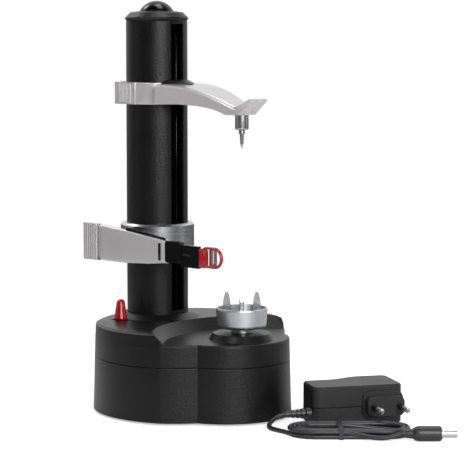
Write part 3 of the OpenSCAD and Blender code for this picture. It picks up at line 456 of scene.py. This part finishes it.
def addSlab(bm, outline, half, edge):
    # outline in the side view, as wide as 2 * half, with rounded edges
    near = [bm.verts.new((x, -half, z)) for x, z in outline]
    far = [bm.verts.new((x, half, z)) for x, z in outline]
    faces = [bm.faces.new(near), bm.faces.new(reversed(far))]
    for i in range(len(outline)):
        j = (i + 1) % len(outline)
        faces.append(bm.faces.new((near[i], far[i], far[j], near[j])))
    edges = list({e for face in faces for e in face.edges})
    bmesh.ops.bevel(bm, geom=edges, offset=edge, segments=3, profile=0.5, affect="EDGES")


def finishMesh(name, bm, aside=0.0, level=0.0, sharp=38):
    # to metres in the model's frame, smooth but for edges sharper than the angle
    bmesh.ops.recalc_face_normals(bm, faces=bm.faces)
    mesh = bpy.data.meshes.new(name)
    bm.to_mesh(mesh)
    bm.free()
    place = Vector((towerX, aside * mm, level * mm))
    mesh.transform(Matrix.Translation(place) @ Matrix.Scale(mm, 4))
    mesh.polygons.foreach_set("use_smooth", [True] * len(mesh.polygons))
    mesh.set_sharp_from_angle(angle=math.radians(sharp))
    return mesh


# ---- top arm ----

# Ring, arm and turned-up tab of one silver moulding, with generous radii on the arm's upper edges.
topArm = {
    "level": 217.0,
    "ringOuter": 24.2,
    "ringInner": 22.4,
    "ringHeight": 15.5,
    "ringEdge": 0.7,
    "ringSteps": 120,
    "edgeAngles": (0, 0.52, 1.05),
    "topLine": [(-4, 14.9), (36, 15.1), (58, 14.3), (71, 6.4), (91, -1.2)],
    "lowLine": [(-4, 1), (44, 1.6), (66, 1.2), (74, -2.6), (80, -5.4)],
    "rootAt": 21.6,
    "rootHalf": 22.6,
    "tipAt": 91.0,
    "tipHalf": 8.5,
    "hollow": (24.2, 82.0),
    "hollowSteps": 26,
    # a pair of sections this close makes each end wall of the hollow
    "wallGap": 0.05,
    "tipStops": [84, 86, 88, 89.5],
    "wall": 2.5,
    "skin": 2.3,
    # the far sections of the hollow close up to this
    "seam": 0.02,
    "radius": 3.4,
    "radiusShare": 0.6,
    "roundSteps": 8,
    "tab": [(84, -5.38), (91, -5.38), (102.62, 4.7), (101.31, 6.21), (89.4, 0.1), (86, 0.6)],
    "tabEdge": 0.5,
    # cheeks that join the ring to the arm's root wall
    "cheek": {"reach": 23.3, "angles": (0.34, 0.45, 0.56, 0.646), "back": [(22.2, 14), (22.2, 7.8)],
              "span": (1.2, 14.7)},
}


def armSection(x, spec, topLine, lowLine):
    # closed outline across the arm at x: rounded above, hollow below
    share = (x - spec["rootAt"]) / (spec["tipAt"] - spec["rootAt"])
    half = spec["rootHalf"] + (spec["tipHalf"] - spec["rootHalf"]) * share
    top, low = heightAt(topLine, x), heightAt(lowLine, x)
    radius = min(spec["radius"], (top - low) * spec["radiusShare"])
    start, end = spec["hollow"]
    roof = top - spec["skin"] if start < x < end else low + spec["seam"]
    side = [(half, low)]
    for i in range(spec["roundSteps"] + 1):
        angle = i / spec["roundSteps"] * math.pi / 2
        out, up = radius * math.cos(angle), radius * math.sin(angle)
        side.append((half - radius + out, top - radius + up))
    inner = [(half - spec["wall"], roof), (half - spec["wall"], low)]
    outline = side + [(-y, z) for y, z in reversed(side)]
    outline += [(-y, z) for y, z in reversed(inner)] + inner
    return [(x, y, z) for y, z in outline]


def ringProfile(spec):
    outer, inner = spec["ringOuter"], spec["ringInner"]
    high, edge = spec["ringHeight"], spec["ringEdge"]
    corner = [(edge * (1 - math.cos(a)), edge * (1 - math.sin(a))) for a in spec["edgeAngles"]]
    profile = [(inner, 0), (outer - edge, 0)]
    profile += [(outer - dx, dz) for dx, dz in reversed(corner)]
    profile += [(outer - dx, high - dz) for dx, dz in corner]
    return profile + [(outer - edge, high), (inner, high)]


def makeTopArm(spec):
    bm = bmesh.new()
    topLine, lowLine = curveLine(spec["topLine"]), curveLine(spec["lowLine"])
    start, end = spec["hollow"]
    gap, steps = spec["wallGap"], spec["hollowSteps"]
    stops = [spec["rootAt"], start, start + gap]
    stops += [start + (end - start) * i / steps for i in range(1, steps)]
    stops += [end - gap, end, *spec["tipStops"], spec["tipAt"]]
    addLoft(bm, [armSection(x, spec, topLine, lowLine) for x in stops])
    addTurned(bm, ringProfile(spec), spec["ringSteps"])
    cheek = spec["cheek"]
    arc = [(cheek["reach"] * math.cos(a), cheek["reach"] * math.sin(a)) for a in cheek["angles"]]
    for side in (-1, 1):
        addPrism(bm, [(x, side * y) for x, y in arc + cheek["back"]], *cheek["span"])
    addSlab(bm, spec["tab"], spec["tipHalf"], spec["tabEdge"])
    mesh = finishMesh("topArmShell", bm, level=spec["level"])
    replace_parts(addPiece("topArmShell", mesh, "silverLacquer", "top_arm"), "top_arm")


makeTopArm(topArm)
print("top arm made")


# ---- peeling arm ----

# Channel-shaped arm, rounded all round, with the hinge knuckle behind it.
peelArm = {
    "level": 104.0,
    "near": -32.0,
    "deep": 3.6,
    "skin": 1.5,
    "thinnest": 0.6,
    "lip": 1.2,
    "radius": 1.5,
    "leftRadius": 5.0,
    "rightRadius": 0.8,
    "turnShare": 0.62,
    "stops": [-30.2, -29.8, -29.2, -28.2, -26.8, -25.2, -22, -18, -13, -6, 0.4, 8, 16, 24, 32, 38,
              40.8, 41.2, 41.45, 41.6],
    "topLine": [(-30.2, 25.4), (-29.4, 25.55), (-22, 25.4), (-13.3, 24.6), (1.6, 23.6),
                (21.6, 21.5), (41.6, 19.4)],
    "lowLine": [(-30.2, 5), (-29.8, 3.04), (-29.2, 2), (-28.2, 1), (-26.8, 0.26), (-25.2, 0),
                (-13, 0), (0.4, 0.1), (26.7, 1.4), (41.6, 3.2)],
    "roundSteps": 5,
    "knuckle": {"at": (-0.5, -28.3), "outer": 2.1, "inner": 1.26, "span": (10.2, 22.9),
                "steps": 32},
}


def peelSection(x, spec, topLine, lowLine):
    # closed outline across the arm at x, with the face turning away at both ends
    left, right = lowLine[0].x, lowLine[-1].x
    near, radius = spec["near"], spec["radius"]
    for reach, size in ((x - left, spec["leftRadius"]), (right - x, spec["rightRadius"])):
        if reach < size:
            turned = size - math.sqrt(max(0.0, size ** 2 - (size - reach) ** 2))
            near = spec["near"] + turned * spec["turnShare"]
    top, low = heightAt(topLine, x), heightAt(lowLine, x)
    far = spec["near"] + spec["deep"]
    outline = [(far, top)]
    for height, start in ((top - radius, 90), (low + radius, 180)):
        for i in range(spec["roundSteps"] + 1):
            angle = math.radians(start + i / spec["roundSteps"] * 90)
            out, up = radius * math.cos(angle), radius * math.sin(angle)
            outline.append((near + radius + out, height + up))
    back = max(spec["near"] + spec["skin"], near + spec["thinnest"])
    lip = spec["lip"]
    outline += [(far, low), (far, low + lip), (back, low + lip)]
    outline += [(back, top - lip), (far, top - lip)]
    return [(x, y, z) for y, z in outline]


def makePeelArm(spec):
    bm = bmesh.new()
    topLine = [Vector(p) for p in spec["topLine"]]
    lowLine = [Vector(p) for p in spec["lowLine"]]
    addLoft(bm, [peelSection(x, spec, topLine, lowLine) for x in spec["stops"]])
    hinge = spec["knuckle"]
    low, high = hinge["span"]
    inner, outer = hinge["inner"], hinge["outer"]
    profile = [(inner, low), (outer, low), (outer, high), (inner, high)]
    addTurned(bm, profile, hinge["steps"], hinge["at"])
    mesh = finishMesh("peelArmShell", bm, level=spec["level"])
    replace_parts(addPiece("peelArmShell", mesh, "silverLacquer", "peel_arm"), "peel_arm")


makePeelArm(peelArm)


# Small slabs cut in the arm's side view: outlines (x, height) along the arm, between two depths.
armSlabs = {
    "armSlotPlug": {
        "outline": [(34.8, 108.8), (37.9, 108.8), (37.9, 121.4), (34.8, 121.4)],
        "depths": (-32.06, -30.9), "edge": 0.3, "finish": "polishedAbs", "node": "blade_holder",
    },
    # painted shade: a thin black strip along the arm's top edge stands in for the shaded gap between
    # the arm and the collar
    "armTopShadeStrip": {
        "outline": [(0.2, 128.2), (1.6, 127.2), (21.6, 125.1), (41.6, 123.0), (41.6, 125.0),
                    (21.6, 127.3), (3.8, 129.7), (1.4, 129.9)],
        "depths": (-31.5, -30.6), "edge": 0.25, "finish": "polishedAbs", "node": "arm_liner",
    },
    "guardPad": {
        "outline": [(74.8, 107.0), (80.6, 107.0), (83.2, 109.6), (83.2, 119.4), (80.6, 120.4),
                    (74.8, 120.4)],
        "depths": (-30.8, -29.3), "edge": 0.5, "finish": "redPolycarbonate", "node": "blade_guard",
    },
    "guardHeel": {
        "outline": [(74.8, 107.0), (77.2, 107.0), (78.0, 108.6), (78.0, 118.8), (77.2, 120.4),
                    (74.8, 120.4)],
        "depths": (-31.25, -28.8), "edge": 0.7, "finish": "redPolycarbonate", "node": "blade_guard",
    },
}


def makeArmSlab(name, spec):
    bm = bmesh.new()
    near, far = spec["depths"]
    addSlab(bm, spec["outline"], (far - near) / 2, spec["edge"])
    mesh = finishMesh(name, bm, aside=(near + far) / 2)
    return addPiece(name, mesh, spec["finish"], spec["node"])


slabs = {name: makeArmSlab(name, spec) for name, spec in armSlabs.items()}
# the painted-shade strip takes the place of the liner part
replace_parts(slabs["armTopShadeStrip"], "arm_liner")


# Guard hoop: a red bar, rounded all round, bent into a loop.
guardHoop = {
    "at": (86.3, -30.0, 114.7),
    "run": 7.2,
    "radius": 6.4,
    "bar": (1.0, 1.3),
    "bendSteps": 20,
    "barSteps": 16,
}


def makeGuardHoop(spec):
    x, y, z = spec["at"]
    wide, deep = spec["bar"]
    rows = []
    for side, base in ((1, -90), (-1, 90)):
        for i in range(spec["bendSteps"] + 1):
            bend = math.radians(base + i / spec["bendSteps"] * 180)
            row = []
            for k in range(spec["barSteps"]):
                turn = k / spec["barSteps"] * math.tau
                reach = spec["radius"] + wide * math.cos(turn)
                row.append((
                    x + side * spec["run"] / 2 + reach * math.cos(bend),
                    y + deep * math.sin(turn),
                    z + reach * math.sin(bend),
                ))
            rows.append(row)
    bm = bmesh.new()
    addLoft(bm, rows, closed=True)
    mesh = finishMesh("guardHoop", bm)
    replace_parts(addPiece("guardHoop", mesh, "redPolycarbonate", "blade_guard"), "blade_guard")


makeGuardHoop(guardHoop)


# Raised bead along the middle of the blade holder's stem, which carries a line of light.
stemBead = {"from": (57.4, -31.15, 114.65), "length": 9.4, "radius": 0.5, "steps": (20, 12)}


def makeStemBead(spec):
    # a ball drawn out along x, by its half that faces the far end
    bm = bmesh.new()
    start, radius = Vector(spec["from"]), spec["radius"]
    around, along = spec["steps"]
    rings = []
    for i in range(1, along):
        tilt = i / along * math.pi
        ring = []
        for k in range(around):
            turn = k / around * math.tau
            flat = radius * math.sin(tilt)
            x, y, z = flat * math.cos(turn), flat * math.sin(turn), radius * math.cos(tilt)
            shift = spec["length"] if x > 1e-5 else 0.0
            ring.append(bm.verts.new(start + Vector((x + shift, y, z))))
        rings.append(ring)
    top, foot = (bm.verts.new(start + Vector((0, 0, z))) for z in (radius, -radius))
    for k in range(around):
        j = (k + 1) % around
        bm.faces.new((top, rings[0][k], rings[0][j]))
        for upper, lower in zip(rings, rings[1:]):
            bm.faces.new((upper[k], lower[k], lower[j], upper[j]))
        bm.faces.new((foot, rings[-1][j], rings[-1][k]))
    addPiece("stemBead", finishMesh("stemBead", bm, sharp=60), "polishedAbs", "blade_holder")


makeStemBead(stemBead)
print("peeling arm made")


# ---- root and pin holder of the top arm ----

# Dark root of the top arm, painted shade: the black core's back is raised into the arm's opening and
# stands in for the shade on the arm's top next to the tower. It slopes from its ridge down to the
# arm's skin along the slanted edges of the opening, and meets it flush. The reach is measured across
# those edges.
armRootShade = {
    "ridgeReach": 22.2,
    "edgeReach": 27.3,
    "ridgeRise": 2.7,
    "sinkShare": -0.2,
    "above": 12.0,
    "from": 20.0,
    "cuts": (((1, 0, 0), range(20, 38)), ((0, 1, 0), range(-17, 18))),
}


def makeArmRootShade(spec, arm):
    bm = bmesh.new()
    bm.from_mesh(frame["nodes"]["arm_core"].data)
    bm.transform(Matrix.Scale(1 / mm, 4) @ Matrix.Translation((-towerX, 0, 0)))
    lowest = arm["level"] + spec["above"]
    for axis, cuts in spec["cuts"]:
        for cut in cuts:
            faces = [face for face in bm.faces if face.calc_center_median().z > lowest]
            edges = list({edge for face in faces for edge in face.edges})
            verts = list({vert for face in faces for vert in face.verts})
            geometry = verts + edges + faces
            bmesh.ops.bisect_plane(bm, geom=geometry, plane_co=Vector(axis) * cut, plane_no=axis)
    skin = curveLine(arm["topLine"])
    for vert in bm.verts:
        x, y, z = vert.co
        if z > lowest and x > spec["from"]:
            reach = (x + abs(y)) / math.sqrt(2)
            share = (spec["edgeReach"] - reach) / (spec["edgeReach"] - spec["ridgeReach"])
            rise = spec["ridgeRise"] * min(1.0, max(spec["sinkShare"], share))
            vert.co.z = min(z, arm["level"] + heightAt(skin, max(x, arm["rootAt"])) + rise)
    mesh = finishMesh("armCoreRootShade", bm, sharp=35)
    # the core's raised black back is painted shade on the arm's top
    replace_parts(addPiece("armCoreRootShade", mesh, "sparkErodedAbs", "arm_core"), "arm_core")


makeArmRootShade(armRootShade, topArm)


# Turned holder under the top arm: smooth sides, a rounded lower rim and a bore for the centre pin.
pinHolder = {
    "around": (86.0, 0.0),
    "profile": [
        (2.27, 201.7), (2.6, 201.3), (3.7, 201.3), (4.3, 201.55), (4.62, 202.1), (4.7, 202.8),
        (4.7, 211.6), (2.6, 211.6), (2.6, 214.5), (0.05, 214.5), (0.05, 208.3), (2.27, 208.3),
    ],
    "steps": 72,
}


def makePinHolder(spec):
    bm = bmesh.new()
    addTurned(bm, spec["profile"], spec["steps"], spec["around"])
    mesh = finishMesh("pinHolderTurned", bm, sharp=40)
    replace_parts(addPiece("pinHolderTurned", mesh, "nickelPlate", "pin_holder"), "pin_holder")


makePinHolder(pinHolder)
print("root and pin holder made")


# ---- guide rails ----

# Rolled front edges of the two guide walls inside the tower's slot, which catch a thin upright
# line of light. Both ends taper to a share of the radius.
guideBead = {
    "front": 14.5,
    "side": 5.35,
    "radius": 0.42,
    "span": (62.0, 265.0),
    "taper": {"length": 0.3, "share": 0.4},
    "steps": 14,
}


def makeGuideBead(name, side, spec):
    low, high = spec["span"]
    length, thin = spec["taper"]["length"], spec["taper"]["share"]
    rows = []
    for z, share in ((low, thin), (low + length, 1.0), (high - length, 1.0), (high, thin)):
        radius = share * spec["radius"]
        angles = [k / spec["steps"] * math.tau for k in range(spec["steps"])]
        rows.append([
            (spec["front"] + radius * math.cos(a), side * spec["side"] + radius * math.sin(a), z)
            for a in angles
        ])
    bm = bmesh.new()
    addLoft(bm, rows)
    addPiece(name, finishMesh(name, bm, sharp=60), "polishedAbs", "tower_guide")


makeGuideBead("guideBeadNear", -1, guideBead)
makeGuideBead("guideBeadFar", 1, guideBead)
print("guide rails made")


# ---- CAD pieces that keep their shape ----

nodeFinishes = {
    "sparkErodedAbs": ["lower_housing", "upper_housing", "tower_tube", "tower_cap", "base_plate",
                       "battery_cover", "motor_plate", "switch_body"],
    "polishedAbs": ["dc_socket", "cap_dome", "tower_guide", "blade_holder", "pin_sleeves"],
    "adapterAbs": ["adapter_base", "adapter_lid", "plug_block"],
    "silverLacquer": ["release_button", "thumb_grip"],
    "redPolycarbonate": ["switch_lever"],
    "nickelPlate": ["peel_collar", "centre_pin", "plug_pins", "barrel_sleeve", "housing_screws"],
    "blastedAluminium": ["turntable_cup", "motor"],
    "stampedSteel": ["lead_screw", "idler_pin", "turntable_shaft", "hinge_pin", "arm_spring",
                     "centre_spike", "turntable_prongs"],
    "groundSteel": ["peel_blade"],
    "castNylon": ["screw_gear", "idler_gear", "turntable_gear", "half_nut"],
    "sinteredBronze": ["screw_bush", "motor_pinion", "turntable_bush"],
    "rubberPad": ["rubber_feet"],
    "cordPvc": ["cord_relief", "cord_tie", "barrel_grip"],
}
for finish, names in nodeFinishes.items():
    for node in names:
        paint(frame["nodes"][node], finish)
print("pieces dressed")


# ---- floor, world and lamps ----

studio = {
    "floorColour": "#f4f4f4",
    "floorRoughness": 0.6,
    "floorHalf": 9.0,
    # m from the tower's foot between which the floor runs into the white of the set
    "fade": (0.25, 0.8),
    "lift": 0.5,
    "sky": "#ffffff",
    "skyLight": 0.16,
    # the white backdrop stands behind the object, and the room in front of it is dimmer
    "nearSide": 0.03,
    "farSide": 1.0,
    "turnsWhite": (0.0, 0.6),
    "floorSeen": 0.1,
    "aimAt": (0.03, 0.0, 0.13),
    "lamps": {
        # name: place in the view (right, away, up in m, from the tower), width, height, watts
        "frontBox": ((0.48, -1.45, 0.7), 0.95, 0.9, 23.0),
        "leftBox": ((-1.5, -0.3, 0.45), 0.3, 0.9, 0.9),
        "keySpot": ((-0.75, -0.85, 1.5), 0.28, 0.28, 4.5),
        "topBox": ((0.2, 0.1, 1.5), 0.8, 0.5, 5.2),
        "edgeBox": ((-0.9, 0.7, 1.35), 0.5, 0.5, 4.0),
        "rimBox": ((1.5, -0.1, 0.5), 0.4, 0.9, 1.6),
    },
}


def besideView(right, away, up):
    turn = math.radians(cameraView["azimuth"])
    x = right * math.cos(turn) - away * math.sin(turn)
    y = right * math.sin(turn) + away * math.cos(turn)
    return Vector((towerX + x, y, up))


def addMath(tree, operation, first, second):
    return addNode(tree, "ShaderNodeMath", {0: first, 1: second}, operation=operation).outputs[0]


def addVectorMath(tree, operation, *vectors):
    inputs = dict(enumerate(vectors))
    return addNode(tree, "ShaderNodeVectorMath", inputs, operation=operation).outputs["Value"]


def addMix(tree, share, first, second):
    inputs = {"Factor": share, "A": first, "B": second}
    return addNode(tree, "ShaderNodeMix", inputs).outputs["Result"]


def seenRays(tree):
    # camera rays, and the mirror and see-through rays that show the white set too
    rays = addNode(tree, "ShaderNodeLightPath").outputs
    mirrored = addMath(tree, "MAXIMUM", rays["Is Glossy Ray"], rays["Is Transmission Ray"])
    return rays["Is Camera Ray"], mirrored


def makeFloor(spec):
    half = spec["floorHalf"]
    corners = [(-half, -half, 0), (half, -half, 0), (half, half, 0), (-half, half, 0)]
    mesh = bpy.data.meshes.new("floor")
    mesh.from_pydata(corners, [], [(0, 1, 2, 3)])
    floor = bpy.data.objects.new("floor", mesh)
    bpy.context.scene.collection.objects.link(floor)
    finish = {"colour": spec["floorColour"], "roughness": spec["floorRoughness"]}
    material, tree, shader, place = startMaterial("paintedFloor", finish)
    camera, mirrored = seenRays(tree)
    sky = fromHex(spec["sky"])
    shader.inputs["Emission Color"].default_value = sky
    lift = spread(tree, camera, 0.0, spec["lift"])
    tree.links.new(lift, shader.inputs["Emission Strength"])
    fade = ease(tree, addVectorMath(tree, "LENGTH", place), *spec["fade"])
    share = addMath(tree, "MULTIPLY", fade, addMath(tree, "MAXIMUM", camera, mirrored))
    strength = spread(tree, camera, spec["floorSeen"], 1.0)
    white = addNode(tree, "ShaderNodeEmission", {"Color": sky, "Strength": strength})
    parts = {0: share, 1: shader.outputs[0], 2: white.outputs[0]}
    joined = addNode(tree, "ShaderNodeMixShader", parts)
    tree.links.new(joined.outputs[0], tree.nodes["Material Output"].inputs["Surface"])
    floor.data.materials.append(material)


def makeWorld(spec):
    world = bpy.data.worlds.new("studio")
    world.use_nodes = True
    bpy.context.scene.world = world
    tree = world.node_tree
    tree.nodes.clear()
    camera, mirrored = seenRays(tree)
    turn = math.radians(cameraView["azimuth"])
    toward = (-math.sin(turn), math.cos(turn), 0.0)
    way = addNode(tree, "ShaderNodeTexCoord").outputs["Generated"]
    depth = addVectorMath(tree, "DOT_PRODUCT", way, toward)
    side = ease(tree, depth, *spec["turnsWhite"], spec["nearSide"], spec["farSide"])
    unseen = addMix(tree, mirrored, spec["skyLight"], side)
    level = addMix(tree, camera, unseen, 1.0)
    glow = addNode(tree, "ShaderNodeBackground", {"Color": fromHex(spec["sky"]), "Strength": level})
    addNode(tree, "ShaderNodeOutputWorld", {"Surface": glow.outputs[0]})


def makeLamps(spec):
    target = Vector(spec["aimAt"]) + Vector((towerX, 0, 0))
    for name, (place, wide, high, watts) in spec["lamps"].items():
        lamp = bpy.data.objects.new(name, bpy.data.lights.new(name, "AREA"))
        lamp.data.shape = "RECTANGLE"
        lamp.data.size = wide
        lamp.data.size_y = high
        lamp.data.energy = watts
        lamp.location = besideView(*place)
        lamp.rotation_euler = (target - lamp.location).to_track_quat("-Z", "Y").to_euler()
        bpy.context.scene.collection.objects.link(lamp)


makeFloor(studio)
makeWorld(studio)
makeLamps(studio)
bpy.context.scene.view_settings.view_transform = "Standard"
print("studio lit")
